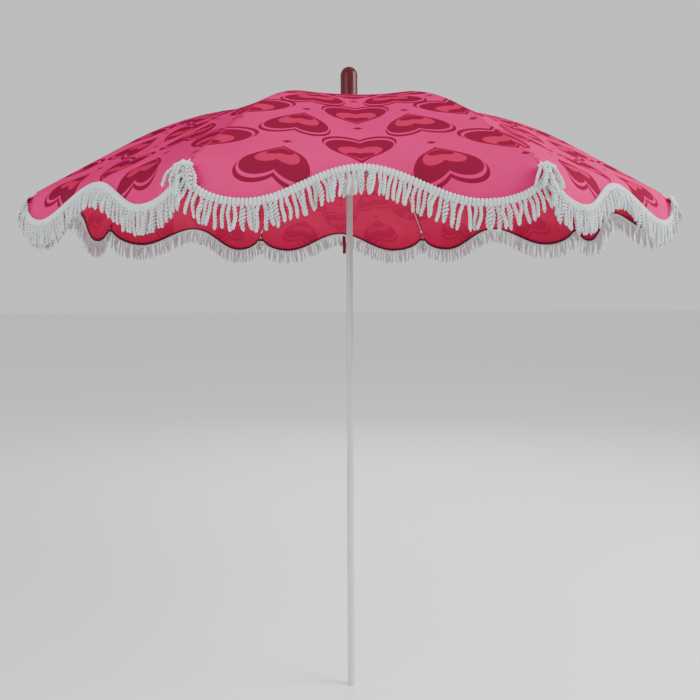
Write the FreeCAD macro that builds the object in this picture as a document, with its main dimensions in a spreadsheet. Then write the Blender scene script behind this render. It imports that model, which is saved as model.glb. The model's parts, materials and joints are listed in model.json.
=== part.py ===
"""Fringed garden parasol: two-part pole, folding eight-rib frame, scalloped canopy.

Millimetres, +Z up, origin at the middle of the pole's foot. The front panel of the
canopy faces -Y. Rib 1 points 22.5 degrees from +X and the others follow every 45 degrees.
"""
import FreeCAD
import math
import os
import Part
import Sketcher
from FreeCAD import Placement, Rotation, Vector

DRIVING = {
    # canopy and ribs
    "rib_count": 8,
    "pivot_radius": 24.0,          # hub and runner pivots, from the pole's axis
    "pivot_height": 2017.0,        # hub pivots above the foot
    "rib_bend_radius": 1050.0,     # the bent inner stretch of a rib
    "rib_start_slope": 8.2,        # degrees, upwards at the hub
    "rib_end_slope": 31.4,         # degrees, downwards along the straight outer stretch
    "rib_straight": 337.0,         # from the bend's end to the canopy's corner
    "rib_diameter": 4.5,
    "rod_start": 17.0,             # round rod begins this far from the pivot
    "tongue_length": 24.0,
    "rib_eye_radius": 3.2,
    "wire_clearance": 0.09,
    "corner_margin": 10.0,         # a rib ends this far before the canopy's corner
    "tip_cap_radius": 3.0,
    "tip_cap_length": 22.0,
    "tip_cap_end": 4.0,            # solid beyond the end of the rib
    "fabric_rise": 4.0,            # underside of the fabric above a rib's centre line
    "fabric_thickness": 1.5,
    "fabric_inner_radius": 30.0,
    "seam_gap": 0.3,               # from a strip's edge to the middle of its panel
    # scalloped edge and fringe
    "lobe_drop": 81.0,
    "lobe_place": 132.0,           # lowest point of a lobe, from the corner
    "middle_drop": 8.4,
    "corner_drop": 3.0,
    "flank_place": 0.52,           # a point on the inner flank of a lobe, as shares
    "flank_drop": 0.5,
    "shoulder_back": 38.0,         # a point on its outer flank, from the corner
    "shoulder_drop": 0.66,
    "overcut": 2.0,
    "fringe_length": 75.0,
    "fringe_thickness": 6.0,
    # joint between rib and stretcher
    "saddle_slope": 14.9,          # degrees, slope of the rib where the saddle sits
    "saddle_drop": 9.0,            # stretcher pivot below the rib's centre line
    "saddle_length": 14.0,
    "saddle_wall": 1.2,
    "saddle_bridge": 0.6,
    "saddle_fit": 0.1,
    "seat_fit": 0.02,
    "rivet_head": 0.8,
    "rivet_radius": 1.5,
    "eye_clearance": 0.06,
    "stretcher_width": 7.0,
    "tongue_thickness": 2.6,       # flat parts that turn in the slots
    # hub and runner
    "crown_radius": 34.0,
    "slot_width": 3.4,
    "slot_root": 17.0,
    "hub_above": 10.0,
    "hub_below": 12.0,
    "hub_socket": 18.0,
    "socket_radius": 16.0,
    "wire_radius": 1.0,
    "runner_drop": 200.0,          # runner pivots below the hub pivots, parasol open
    "runner_half": 10.0,
    "sleeve_radius": 15.5,
    "sleeve_below": 55.0,
    "runner_clearance": 0.3,
    # pole
    "mast_radius": 11.0,
    "mast_wall": 1.2,
    "mast_foot": 553.0,
    "lower_radius": 12.5,
    "lower_wall": 1.0,
    "lower_top": 833.0,
    "bush_length": 60.0,
    "bush_clearance": 0.05,
    "stop_height": 6.0,
    "plug_length": 30.0,
    # top
    "stud_radius": 4.0,
    "stud_length": 62.0,
    "cap_radius": 40.0,
    "cap_thickness": 3.0,
    "cap_gap": 0.4,
    "finial_radius": 29.5,
    "finial_neck": 20.0,
    "finial_height": 152.0,
    "finial_flare": 6.5,           # from the neck out to the side
    "finial_flare_height": 9.0,
    "finial_belly": 24.0,
    # runner's pull knob and closure strap
    "boss_radius": 8.0,
    "boss_end": 26.0,
    "boss_drop": 32.5,             # knob's axis below the runner pivots
    "pin_radius": 3.0,
    "pin_clearance": 0.06,
    "pin_gap": 0.2,                # from the pin's nose to the bore
    "knob_radius": 9.0,
    "knob_length": 11.0,
    "knob_gap": 0.5,
    "knob_round": 2.0,
    "strap_length": 95.0,
    "strap_width": 16.0,
    "strap_thickness": 1.6,
    "strap_gap": 0.5,
    "strap_aside": 2.0,            # from the middle of the back panel
    "strap_below": 1.0,
}

doc = FreeCAD.newDocument("Parasol")
sheet = doc.addObject("Spreadsheet::Sheet", "dims")
for row, (alias, value) in enumerate(DRIVING.items(), start=1):
    sheet.set("A%d" % row, alias)
    sheet.set("B%d" % row, repr(value))
    sheet.setAlias("B%d" % row, alias)
doc.recompute()

REACH = 2500.0                     # farther than the canopy reaches in any direction
nodes = []


def dim(alias):
    """A driving dimension, read back from the sheet."""
    return float(getattr(sheet, alias))


def bind(thing, **sizes):
    """Bind properties to formulas written with the sheet's aliases."""
    for name, formula in sizes.items():
        for alias in sorted(DRIVING, key=len, reverse=True):
            formula = formula.replace("#" + alias, "dims." + alias)
        thing.setExpression(name, formula)
    return thing


def lift(thing, formula):
    """Bind the height of a thing above the foot."""
    for alias in sorted(DRIVING, key=len, reverse=True):
        formula = formula.replace("#" + alias, "dims." + alias)
    thing.setExpression("Placement.Base.z", formula)
    return thing


def cylinder(name, radius, length, base):
    thing = doc.addObject("Part::Cylinder", name)
    bind(thing, Radius=radius, Height=length)
    return lift(thing, base)


def cut(name, body, tool):
    thing = doc.addObject("Part::Cut", name)
    thing.Base = body
    thing.Tool = tool
    return thing


def fuse(name, *bodies):
    thing = doc.addObject("Part::MultiFuse", name)
    thing.Shapes = list(bodies)
    return thing


def tube(name, outer, inner, length, base):
    solid = cylinder(name + "_solid", outer, length, base)
    bore = cylinder(name + "_bore", inner, length, base)
    return cut(name, solid, bore)


def node(thing, label):
    """Keep a finished sub-part under its own label."""
    thing.Label = label
    nodes.append(thing)
    return thing


def feature(label, shape, placement=None):
    thing = doc.addObject("Part::Feature", label)
    thing.Shape = shape
    if placement is not None:
        thing.Placement = placement
    return node(thing, label)


def around(index):
    """The placement that turns a part modelled along +X onto rib number index."""
    step = 360.0 / dim("rib_count")
    return Placement(Vector(0, 0, 0), Rotation(Vector(0, 0, 1), step * (index - 0.5)))


# ---------------------------------------------------------------- pole

def lower_pole():
    shell = tube("lower_shell", "#lower_radius", "#lower_radius - #lower_wall", "#lower_top", "0")
    stop = tube(
        "stop_ring",
        "#lower_radius - #lower_wall",
        "#mast_radius - 2 * #mast_wall",
        "#stop_height",
        "#mast_foot - #stop_height",
    )
    node(fuse("lower_tube_fuse", shell, stop), "lower_tube")
    plug = cylinder("plug", "#lower_radius - #lower_wall", "#plug_length", "0")
    node(plug, "foot_plug")
    bush = tube(
        "bush",
        "#lower_radius - #lower_wall",
        "#mast_radius + #bush_clearance",
        "#bush_length",
        "#lower_top - #bush_length",
    )
    node(bush, "slip_bush")


def mast():
    top = "#pivot_height + #hub_above"
    shell = tube(
        "mast_shell", "#mast_radius", "#mast_radius - #mast_wall", top + " - #mast_foot", "#mast_foot"
    )
    node(shell, "upper_tube")
    insert = cylinder("insert", "#mast_radius - #mast_wall", "#plug_length", top + " - #plug_length")
    stud = cylinder("stud", "#stud_radius", "#stud_length + #plug_length", top + " - #plug_length")
    node(fuse("insert_fuse", insert, stud), "finial_stud")


# ---------------------------------------------------------------- slotted crowns

def plane_of(body, role):
    return next(item for item in body.Origin.OriginFeatures if item.Role == role)


def circle_sketch(body, name, radius):
    sketch = body.newObject("Sketcher::SketchObject", name)
    sketch.AttachmentSupport = [(plane_of(body, "XY_Plane"), "")]
    sketch.MapMode = "FlatFace"
    origin = Vector(0, 0, 0)
    sketch.addGeometry(Part.Circle(origin, Vector(0, 0, 1), 10.0), False)
    sketch.addConstraint(Sketcher.Constraint("Coincident", 0, 3, -1, 1))
    index = sketch.addConstraint(Sketcher.Constraint("Radius", 0, 10.0))
    sketch.setExpression("Constraints[%d]" % index, radius)
    return sketch


def slotted_crown(name, height, bore):
    """A disc with a bore and one radial slot for each rib, as a PartDesign body."""
    body = doc.addObject("PartDesign::Body", name)
    outline = circle_sketch(body, name + "_outline", "dims.crown_radius")
    disc = body.newObject("PartDesign::Pad", name + "_disc")
    disc.Profile = outline
    disc.setExpression("Length", height)
    hole_outline = circle_sketch(body, name + "_hole_outline", bore)
    hole = body.newObject("PartDesign::Pocket", name + "_hole")
    hole.Profile = hole_outline
    hole.Reversed = True
    hole.Type = "ThroughAll"
    slot_outline = body.newObject("Sketcher::SketchObject", name + "_slot_outline")
    slot_outline.AttachmentSupport = [(plane_of(body, "XY_Plane"), "")]
    slot_outline.MapMode = "FlatFace"
    turn = math.radians(180.0 / dim("rib_count"))
    along = Vector(math.cos(turn), math.sin(turn), 0)
    across = Vector(-math.sin(turn), math.cos(turn), 0)
    near = dim("slot_root")
    far = dim("crown_radius") + dim("overcut")
    half = dim("slot_width") / 2
    corners = [
        along * near - across * half,
        along * far - across * half,
        along * far + across * half,
        along * near + across * half,
    ]
    for start, end in zip(corners, corners[1:] + corners[:1]):
        slot_outline.addGeometry(Part.LineSegment(start, end), False)
    for line in range(4):
        slot_outline.addConstraint(Sketcher.Constraint("Coincident", line, 2, (line + 1) % 4, 1))
    doc.recompute()
    slot = body.newObject("PartDesign::Pocket", name + "_slot")
    slot.Profile = slot_outline
    slot.Reversed = True
    slot.Type = "ThroughAll"
    doc.recompute()
    slots = body.newObject("PartDesign::PolarPattern", name + "_slots")
    slots.Originals = [slot]
    slots.Axis = (body.Origin.OriginFeatures[2], [""])
    slots.Angle = 360.0
    slots.Occurrences = int(dim("rib_count"))
    body.Tip = slots
    return body


def hub():
    body = slotted_crown("hub_disc", "dims.hub_above + dims.hub_below", "dims.mast_radius")
    lift(body, "#pivot_height - #hub_below")
    socket = tube(
        "hub_socket",
        "#socket_radius",
        "#mast_radius",
        "#hub_socket",
        "#pivot_height - #hub_below - #hub_socket",
    )
    groove = tube(
        "hub_groove",
        "#pivot_radius + #wire_radius",
        "#pivot_radius - #wire_radius",
        "#hub_above + #wire_radius",
        "#pivot_height - #wire_radius",
    )
    node(cut("hub_cut", fuse("hub_fuse", body, socket), groove), "hub")
    wire = doc.addObject("Part::Torus", "wire")
    bind(wire, Radius1="#pivot_radius", Radius2="#wire_radius")
    lift(wire, "#pivot_height")
    node(wire, "hub_wire")


def runner():
    """The slider that the stretchers push up, with a side boss for the pull knob."""
    centre = "#pivot_height - #runner_drop"
    bore = "dims.mast_radius + dims.runner_clearance"
    crown = slotted_crown("runner_disc", "2 * dims.runner_half", bore)
    lift(crown, centre + " - #runner_half")
    sleeve = tube(
        "runner_sleeve",
        "#sleeve_radius",
        "#mast_radius + #runner_clearance",
        "#sleeve_below - #runner_half",
        centre + " - #sleeve_below",
    )
    axis = centre + " - #boss_drop"
    boss = cylinder("boss", "#boss_radius", "#boss_end", axis)
    boss.Placement.Rotation = Rotation(Vector(1, 0, 0), -90)
    clear = cylinder(
        "boss_clear",
        "#mast_radius + #runner_clearance",
        "#sleeve_below",
        centre + " - #sleeve_below",
    )
    hole = cylinder("boss_hole", "#pin_radius + #pin_clearance", "2 * #boss_end", axis)
    hole.Placement.Rotation = Rotation(Vector(1, 0, 0), -90)
    whole = fuse("runner_fuse", crown, sleeve, cut("boss_cut", boss, clear))
    node(cut("runner_cut", whole, hole), "runner")


def pull_knob():
    """A pin in the runner's boss with a round knob to pull it out by."""
    height = dim("pivot_height") - dim("runner_drop") - dim("boss_drop")
    nose = dim("mast_radius") + dim("runner_clearance") + dim("pin_gap")
    outer = dim("boss_end") + dim("knob_gap")
    out = Vector(0, 1, 0)
    length = outer + dim("overcut") - nose
    pin = Part.makeCylinder(dim("pin_radius"), length, Vector(0, nose, height), out)
    knob = Part.makeCylinder(dim("knob_radius"), dim("knob_length"), Vector(0, outer, height), out)
    feature("runner_pull_knob", pin.fuse(knob.makeFillet(dim("knob_round"), knob.Edges)))


# ---------------------------------------------------------------- ribs

def bend_point(slope):
    """Radius and height of the rib's centre line where it falls at slope degrees."""
    start = math.radians(dim("rib_start_slope"))
    here = math.radians(slope)
    bend = dim("rib_bend_radius")
    radius = dim("pivot_radius") + bend * (math.sin(start) + math.sin(here))
    height = dim("pivot_height") - bend * (math.cos(start) - math.cos(here))
    return radius, height


def corner_point():
    """Radius and height of the canopy's corner on the rib's centre line."""
    radius, height = bend_point(dim("rib_end_slope"))
    slope = math.radians(dim("rib_end_slope"))
    straight = dim("rib_straight")
    return radius + straight * math.cos(slope), height - straight * math.sin(slope)


def cap_base():
    """Where the tip cap begins on a rib's straight stretch, and the outward direction."""
    radius, height = corner_point()
    outward = tangent(dim("rib_end_slope"))
    back = dim("corner_margin") + dim("tip_cap_length")
    return Vector(radius, 0, height) - outward * back, outward


def tangent(slope):
    """Outward direction along a rib where it falls at slope degrees."""
    angle = math.radians(slope)
    return Vector(math.cos(angle), 0, -math.sin(angle))


def rib_shape():
    """The bent rod, its flat eye at the hub and its straight end, along +X."""
    rod = dim("rib_diameter") / 2
    bend = dim("rib_bend_radius")
    pivot = Vector(dim("pivot_radius"), 0, dim("pivot_height"))
    rod_start = math.degrees(dim("rod_start") / bend) - dim("rib_start_slope")
    points = []
    for slope in (rod_start, dim("rib_end_slope") / 2, dim("rib_end_slope")):
        radius, height = bend_point(slope)
        points.append(Vector(radius, 0, height))
    arc = Part.Arc(*points).toShape()
    cap, outward = cap_base()
    seated = dim("tip_cap_length") - dim("tip_cap_end")
    line = Part.LineSegment(points[2], cap + outward * seated).toShape()
    ring = Part.Wire(Part.makeCircle(rod, points[0], tangent(rod_start)))
    rod_shape = Part.Wire([arc, line]).makePipeShell([ring], True, False)
    half = dim("tongue_thickness") / 2
    sideways = Vector(0, 1, 0)
    eye = Part.makeCylinder(dim("rib_eye_radius"), 2 * half, pivot - sideways * half, sideways)
    tongue = Part.makeBox(dim("tongue_length"), 2 * half, 2 * rod, Vector(0, -half, -rod))
    tilt = Rotation(sideways, -dim("rib_start_slope"))
    tongue.Placement = Placement(pivot, tilt)
    hole_radius = dim("wire_radius") + dim("wire_clearance")
    hole = Part.makeCylinder(hole_radius, 4 * half, pivot - sideways * 2 * half, sideways)
    return rod_shape.fuse([eye, tongue]).cut(hole).removeSplitter()


def tip_cap_shape():
    """A sleeve with a ball end, pushed over the end of the rib."""
    start, outward = cap_base()
    radius = dim("tip_cap_radius")
    length = dim("tip_cap_length")
    body = Part.makeCylinder(radius, length, start, outward)
    ball = Part.makeSphere(radius, start + outward * length)
    seated = length - dim("tip_cap_end")
    seat = Part.makeCylinder(dim("rib_diameter") / 2, seated, start, outward)
    return body.fuse(ball).cut(seat)


def stretcher_pivot():
    slope = dim("saddle_slope")
    radius, height = bend_point(slope)
    drop = dim("saddle_drop")
    angle = math.radians(slope)
    return Vector(radius - drop * math.sin(angle), 0, height - drop * math.cos(angle))


def saddle_shape():
    """Two cheeks and a bridge that grip the rib, and the rivet for the stretcher."""
    pivot = stretcher_pivot()
    rod = dim("rib_diameter") / 2
    wall = dim("saddle_wall")
    length = dim("saddle_length")
    top = dim("saddle_drop") + rod + dim("saddle_bridge")
    low = -dim("stretcher_width") / 2
    outer = rod + dim("saddle_fit") + wall
    head = outer + dim("rivet_head")
    block = Part.makeBox(length, 2 * outer, top - low, Vector(-length / 2, -outer, low))
    inside = Part.makeBox(length, 2 * (outer - wall), dim("saddle_drop") - low,
                          Vector(-length / 2, wall - outer, low))
    seat_start = Vector(-length / 2, 0, dim("saddle_drop"))
    seat = Part.makeCylinder(rod + dim("seat_fit"), length, seat_start, Vector(1, 0, 0))
    shank = Part.makeCylinder(dim("rivet_radius"), 2 * head, Vector(0, -head, 0), Vector(0, 1, 0))
    shape = block.cut([inside, seat]).fuse(shank)
    shape.Placement = Placement(pivot, Rotation(Vector(0, 1, 0), dim("saddle_slope")))
    return shape


def stretcher_shape():
    """A flat bar from the saddle's rivet down to the runner's slot."""
    upper = stretcher_pivot()
    lower = Vector(dim("pivot_radius"), 0, dim("pivot_height") - dim("runner_drop"))
    half = dim("tongue_thickness") / 2
    wide = dim("stretcher_width") / 2
    reach = upper - lower
    bar = Part.makeBox(reach.Length, 2 * half, 2 * wide, Vector(0, -half, -wide))
    near = Part.makeCylinder(wide, 2 * half, Vector(0, -half, 0), Vector(0, 1, 0))
    far = Part.makeCylinder(wide, 2 * half, Vector(reach.Length, -half, 0), Vector(0, 1, 0))
    eye_radius = dim("rivet_radius") + dim("eye_clearance")
    eye = Part.makeCylinder(eye_radius, 4 * half, Vector(reach.Length, -2 * half, 0),
                            Vector(0, 1, 0))
    shape = bar.fuse([near, far]).cut(eye).removeSplitter()
    rise = math.degrees(math.atan2(reach.z, reach.x))
    shape.Placement = Placement(lower, Rotation(Vector(0, 1, 0), -rise))
    return shape


# ---------------------------------------------------------------- canopy

def half_angle():
    return math.radians(180.0 / dim("rib_count"))


def panel_profile(rise):
    """Section of a panel in its middle plane: flat over the hub, bent, then straight."""
    squeeze = math.cos(half_angle())
    crest = bend_point(0.0)
    middle = bend_point(dim("rib_end_slope") / 2)
    end = bend_point(dim("rib_end_slope"))
    corner = corner_point()
    points = [(dim("fabric_inner_radius"), crest[1]), crest, middle, end, corner]
    return [Vector(radius * squeeze, 0, height + rise) for radius, height in points]


def profile_edges(points):
    inner, crest, middle, end, corner = points
    return [
        Part.LineSegment(inner, crest).toShape(),
        Part.Arc(crest, middle, end).toShape(),
        Part.LineSegment(end, corner).toShape(),
    ]


def wedge():
    """The space between a panel's middle plane (along +X) and its rib."""
    gap = dim("seam_gap")
    slant = math.tan(half_angle())
    near = Vector(gap / slant, gap, 0)
    outline = Part.makePolygon([near, Vector(REACH, gap, 0), Vector(REACH, REACH * slant, 0), near])
    return Part.Face(outline).extrude(Vector(0, 0, REACH))


def edge_curve(level, drop):
    """The scalloped edge in the plane of a panel's rim, from its middle to the corner."""
    corner_radius = corner_point()[0]
    half_chord = corner_radius * math.sin(half_angle())
    low = half_chord - dim("lobe_place")
    middle = Vector(0, 0, level - dim("middle_drop") - drop)
    inner = Vector(0, low * dim("flank_place"), level - dim("lobe_drop") * dim("flank_drop") - drop)
    bottom = Vector(0, low, level - dim("lobe_drop") - drop)
    shoulder = level - dim("lobe_drop") * dim("shoulder_drop") - drop
    outer = Vector(0, half_chord - dim("shoulder_back"), shoulder)
    corner = Vector(0, half_chord + dim("overcut"), level - dim("corner_drop") - drop)
    return Part.Arc(middle, inner, bottom).toShape(), Part.Arc(bottom, outer, corner).toShape()


def rim_plate(top, bottom, inside, thickness):
    """A hanging plate between two edge curves, at the rim of a panel."""
    first, last = top[0].Vertexes[0].Point, top[-1].Vertexes[-1].Point
    low_first, low_last = bottom[0].Vertexes[0].Point, bottom[-1].Vertexes[-1].Point
    outline = list(top) + list(bottom)
    outline.append(Part.LineSegment(first, low_first).toShape())
    outline.append(Part.LineSegment(last, low_last).toShape())
    plate = Part.Face(Part.Wire(Part.__sortEdges__(outline))).extrude(Vector(thickness, 0, 0))
    plate.translate(Vector(inside, 0, 0))
    return plate


def strip(half):
    """Turn half a strip onto its rib along +X and add its mirror image."""
    half.rotate(Vector(0, 0, 0), Vector(0, 0, 1), -math.degrees(half_angle()))
    other = half.mirror(Vector(0, 0, 0), Vector(0, 1, 0))
    return half.fuse(other).removeSplitter()


def canopy_strip_shape():
    """The fabric between the middles of two panels, with its share of the scallops."""
    thickness = dim("fabric_thickness")
    low = panel_profile(dim("fabric_rise"))
    high = panel_profile(dim("fabric_rise") + thickness)
    edges = profile_edges(low) + profile_edges(high)
    edges.append(Part.LineSegment(low[0], high[0]).toShape())
    edges.append(Part.LineSegment(low[-1], high[-1]).toShape())
    sheet_face = Part.Face(Part.Wire(Part.__sortEdges__(edges)))
    cloth = sheet_face.extrude(Vector(0, REACH, 0))
    level = high[-1].z
    half_chord = corner_point()[0] * math.sin(half_angle())
    inner_end = Vector(0, 0, level - thickness)
    outer_end = Vector(0, half_chord + dim("overcut"), level - thickness)
    straight = [Part.LineSegment(inner_end, outer_end).toShape()]
    rim = high[-1].x
    lobes = rim_plate(straight, edge_curve(level, 0.0), rim - thickness, thickness)
    return strip(cloth.fuse(lobes).common(wedge()))


def fringe_shape():
    """The envelope of the cords that hang from the scallops."""
    thickness = dim("fringe_thickness")
    level = corner_point()[1] + dim("fabric_rise") + dim("fabric_thickness")
    rim = corner_point()[0] * math.cos(half_angle())
    middle = rim - dim("fabric_thickness") / 2
    top = edge_curve(level, dim("seam_gap"))
    bottom = edge_curve(level, dim("fringe_length"))
    plate = rim_plate(top, bottom, middle - thickness / 2, thickness)
    return strip(plate.common(wedge()))


def closure_strap():
    """The strap that ties the closed parasol, hanging inside the back panel's rim."""
    rim = corner_point()[0] * math.cos(half_angle())
    top = corner_point()[1] + dim("fabric_rise") - dim("strap_below")
    width = dim("strap_width")
    thickness = dim("strap_thickness")
    inside = rim - (dim("fringe_thickness") + dim("fabric_thickness")) / 2
    inside -= thickness + dim("strap_gap")
    shape = Part.makeBox(width, thickness, dim("strap_length"))
    corner = Vector(dim("strap_aside"), inside, top - dim("strap_length"))
    feature("closure_strap", shape, Placement(corner, Rotation()))


# ---------------------------------------------------------------- top pieces

def crown_cap():
    """The disc that clamps the fabric over the hub, under the finial."""
    base = "#pivot_height + #rib_bend_radius * (1 - cos(#rib_start_slope * 1 deg))"
    base += " + #fabric_rise + #fabric_thickness + #cap_gap"
    disc = cylinder("cap_disc", "#cap_radius", "#cap_thickness", base)
    hole = cylinder("cap_hole", "#stud_radius", "#cap_thickness", base)
    node(cut("cap_cut", disc, hole), "crown_cap")


def finial():
    """A turned knob: narrow foot, straight side and a round top."""
    foot = bend_point(0.0)[1] + dim("fabric_rise") + dim("fabric_thickness")
    foot += dim("cap_gap") + dim("cap_thickness")
    radius = dim("finial_radius")
    neck = dim("finial_neck")
    height = dim("finial_height")
    shoulder = height - radius
    slant = radius * math.sqrt(0.5)
    start = Vector(0, 0, 0)
    edge = Vector(neck, 0, 0)
    flare = Vector(neck + dim("finial_flare"), 0, dim("finial_flare_height"))
    belly = Vector(radius, 0, dim("finial_belly"))
    side_top = Vector(radius, 0, shoulder)
    dome = Vector(slant, 0, shoulder + slant)
    top = Vector(0, 0, height)
    outline = [
        Part.LineSegment(start, edge).toShape(),
        Part.Arc(edge, flare, belly).toShape(),
        Part.LineSegment(belly, side_top).toShape(),
        Part.Arc(side_top, dome, top).toShape(),
        Part.LineSegment(top, start).toShape(),
    ]
    turned = Part.Face(Part.Wire(outline)).revolve(start, Vector(0, 0, 1), 360)
    stud_top = dim("pivot_height") + dim("hub_above") + dim("stud_length")
    bore = Part.makeCylinder(dim("stud_radius"), stud_top - foot)
    feature("finial", turned.cut(bore), Placement(Vector(0, 0, foot), Rotation()))


# ---------------------------------------------------------------- assembly

lower_pole()
mast()
hub()
crown_cap()
finial()
runner()
pull_knob()
closure_strap()
REPEATED = {
    "rib": rib_shape(),
    "rib_tip": tip_cap_shape(),
    "rib_saddle": saddle_shape(),
    "stretcher": stretcher_shape(),
    "canopy_strip": canopy_strip_shape(),
    "fringe": fringe_shape(),
}
for name, shape in REPEATED.items():
    for index in range(1, int(dim("rib_count")) + 1):
        placed = around(index).multiply(shape.Placement)
        copy = shape.copy()
        copy.Placement = Placement()
        feature("%s_%d" % (name, index), copy, placed)

doc.recompute()
for thing in doc.Objects:
    if "Invalid" in thing.State or "Error" in thing.State:
        raise RuntimeError("%s failed: %s" % (thing.Label, thing.State))
os.makedirs("parts", exist_ok=True)
for thing in nodes:
    shape = thing.Shape
    if shape.isNull() or not shape.isValid() or not shape.Solids:
        raise RuntimeError("%s has no valid solid" % thing.Label)
    shape.exportStep("parts/%s.step" % thing.Label)
print("%d nodes, corner at %.1f, %.1f" % (len(nodes), *corner_point()))
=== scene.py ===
"""Looks of a fringed garden parasol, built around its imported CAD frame. Metres, +Z up."""
import bpy
import json
import math
import random
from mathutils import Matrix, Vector, noise


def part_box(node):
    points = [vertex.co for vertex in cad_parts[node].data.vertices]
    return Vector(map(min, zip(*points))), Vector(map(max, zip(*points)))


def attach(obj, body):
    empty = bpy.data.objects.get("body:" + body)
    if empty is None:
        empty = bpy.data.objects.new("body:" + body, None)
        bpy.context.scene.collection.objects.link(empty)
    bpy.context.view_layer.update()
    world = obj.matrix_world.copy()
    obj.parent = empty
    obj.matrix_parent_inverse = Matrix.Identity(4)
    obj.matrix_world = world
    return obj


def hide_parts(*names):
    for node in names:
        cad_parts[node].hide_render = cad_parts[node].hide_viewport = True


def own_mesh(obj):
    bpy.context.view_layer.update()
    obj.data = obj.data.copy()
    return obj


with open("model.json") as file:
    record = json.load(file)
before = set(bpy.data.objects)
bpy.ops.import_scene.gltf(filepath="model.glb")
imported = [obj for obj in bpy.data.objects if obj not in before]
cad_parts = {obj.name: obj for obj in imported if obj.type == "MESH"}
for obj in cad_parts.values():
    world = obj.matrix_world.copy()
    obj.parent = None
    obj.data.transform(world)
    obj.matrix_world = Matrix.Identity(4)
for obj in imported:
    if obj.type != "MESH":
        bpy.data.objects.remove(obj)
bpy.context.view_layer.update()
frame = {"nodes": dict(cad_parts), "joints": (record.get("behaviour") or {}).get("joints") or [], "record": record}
RIBS = 8
HALF = math.pi / RIBS               # from a rib to the middle of a panel

# ---------------------------------------------------------------- sizes from the frame

joints = {joint["name"]: joint for joint in frame["joints"]}
FOLD = [joints["rib_%d_fold" % (k + 1)] for k in range(RIBS)]
FOLD_ANGLE = FOLD[0]["range_deg"][1]
PIVOT_R = math.hypot(FOLD[0]["pos_m"][0], FOLD[0]["pos_m"][1])
PIVOT_Z = FOLD[0]["pos_m"][2]
RIM_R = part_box("canopy_strip_1")[1].x / math.cos(HALF)   # the corners' circle
CLOTH = 0.0014                      # thickness of the fabric

BEND = 1.050                        # radius of a rib's bent stretch
SLOPE_IN = math.radians(8.2)        # upwards at the hub
SLOPE_OUT = math.radians(31.4)      # downwards along the straight outer stretch
RISE = 0.0055                       # outer face of the fabric above a rib's centre line
SAG = 0.0125                        # the fabric dips this far halfway between two ribs
SAG_PLACE = 1.25                    # above 1, the deepest dip moves out along the rib
CREASE_SIZE = 0.16                  # width of the slight unevenness of the fabric
CREASE_DEPTH = 0.003

CORNER_DROP = 0.003                 # scallops: below the rim, at a rib's tip
LOBE_DROP = 0.081                   # at their lowest
LOBE_OUT = 0.015
MIDDLE_DROP = 0.0045                # and in the middle of a panel
MIDDLE_OUT = -0.0105
LOBE_T = 0.173                      # where a lobe is lowest, as a share of the chord
LOBE_ROUND = 2.1                    # power of the curve from a corner to a lobe's lowest point
HEADING = 0.017                     # height of the fringe's ribbed heading
HEAD_RADIUS = 0.0044                # of one rib of it
SQUARE = 0.62                       # how far the cords stand square to the edge, not plumb
FAN = 11                            # heading cords round a corner
FAN_SPREAD = 80                     # degrees, to each side of the rib
FRINGE = 0.075                      # whole length of the fringe


def rib_line(radius):
    """Height of a rib's centre line over a radius from the pole's axis."""
    crest_r = PIVOT_R + BEND * math.sin(SLOPE_IN)
    crest_z = PIVOT_Z + BEND * (1 - math.cos(SLOPE_IN))
    straight_r = crest_r + BEND * math.sin(SLOPE_OUT)
    if radius < crest_r:
        return crest_z
    if radius < straight_r:
        return crest_z - BEND + math.sqrt(BEND ** 2 - (radius - crest_r) ** 2)
    straight_z = crest_z - BEND * (1 - math.cos(SLOPE_OUT))
    return straight_z - (radius - straight_r) * math.tan(SLOPE_OUT)


RIM_Z = rib_line(RIM_R) + RISE


PRINT_SHIFT = (0.006, -0.005, 0.008, -0.009, 0.004, -0.007, -0.010, 0.005)   # of each panel's print
EDGE_SHIFT = 1.3                    # its arch moves by the print's shift in chords, times this


def sideways(middle_angle):
    """How far one panel's fabric is sewn off its middle."""
    return PRINT_SHIFT[round(middle_angle / (2 * HALF)) % RIBS]


def lobe_edge(t):
    """How far the scalloped edge hangs below and stands out from the chord at share t."""
    t = min(t, 1 - t)
    if t < LOBE_T:
        x = 1 - t / LOBE_T
        round_part = max(0.0, 1 - x ** LOBE_ROUND) ** 0.5
        return CORNER_DROP + (LOBE_DROP - CORNER_DROP) * round_part, LOBE_OUT * round_part
    wave = 0.5 + 0.5 * math.cos(math.pi * (t - LOBE_T) / (0.5 - LOBE_T))
    drop = MIDDLE_DROP + (LOBE_DROP - MIDDLE_DROP) * wave
    return drop, MIDDLE_OUT + (LOBE_OUT - MIDDLE_OUT) * wave


def on_chord(middle_angle, t, radius, out=0.0):
    """Plan position at share t of the chord between two ribs, and out from it."""
    a = middle_angle - HALF
    b = middle_angle + HALF
    x = radius * ((1 - t) * math.cos(a) + t * math.cos(b)) + out * math.cos(middle_angle)
    y = radius * ((1 - t) * math.sin(a) + t * math.sin(b)) + out * math.sin(middle_angle)
    return x, y


def panel_point(middle_angle, t, radius):
    """A point of the outer face of the fabric, with its sag and slight unevenness."""
    x, y = on_chord(middle_angle, t, radius)
    share = min(1.0, radius / RIM_R)
    z = rib_line(radius) + RISE
    away = 4 * t * (1 - t)
    z -= SAG * away * math.sin(math.pi * share ** SAG_PLACE)
    z += noise.noise(Vector((x, y, 0)) / CREASE_SIZE) * CREASE_DEPTH * away * share
    return Vector((x, y, z))


SKIRT_FROM = 0.955                  # share of the radius where the panel turns into the skirt
SKIRT_STEEP = math.radians(84)      # how steeply a lobe hangs at its edge
SKIRT_FULL = 0.6                    # it is that steep from this share of a lobe's drop
FLUTTER = 0.004                     # its edge waves in and out by this much
FLUTTER_X = 9.0
FLUTTER_Y = 8.0
FLUTTER_START = 4.0


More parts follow.
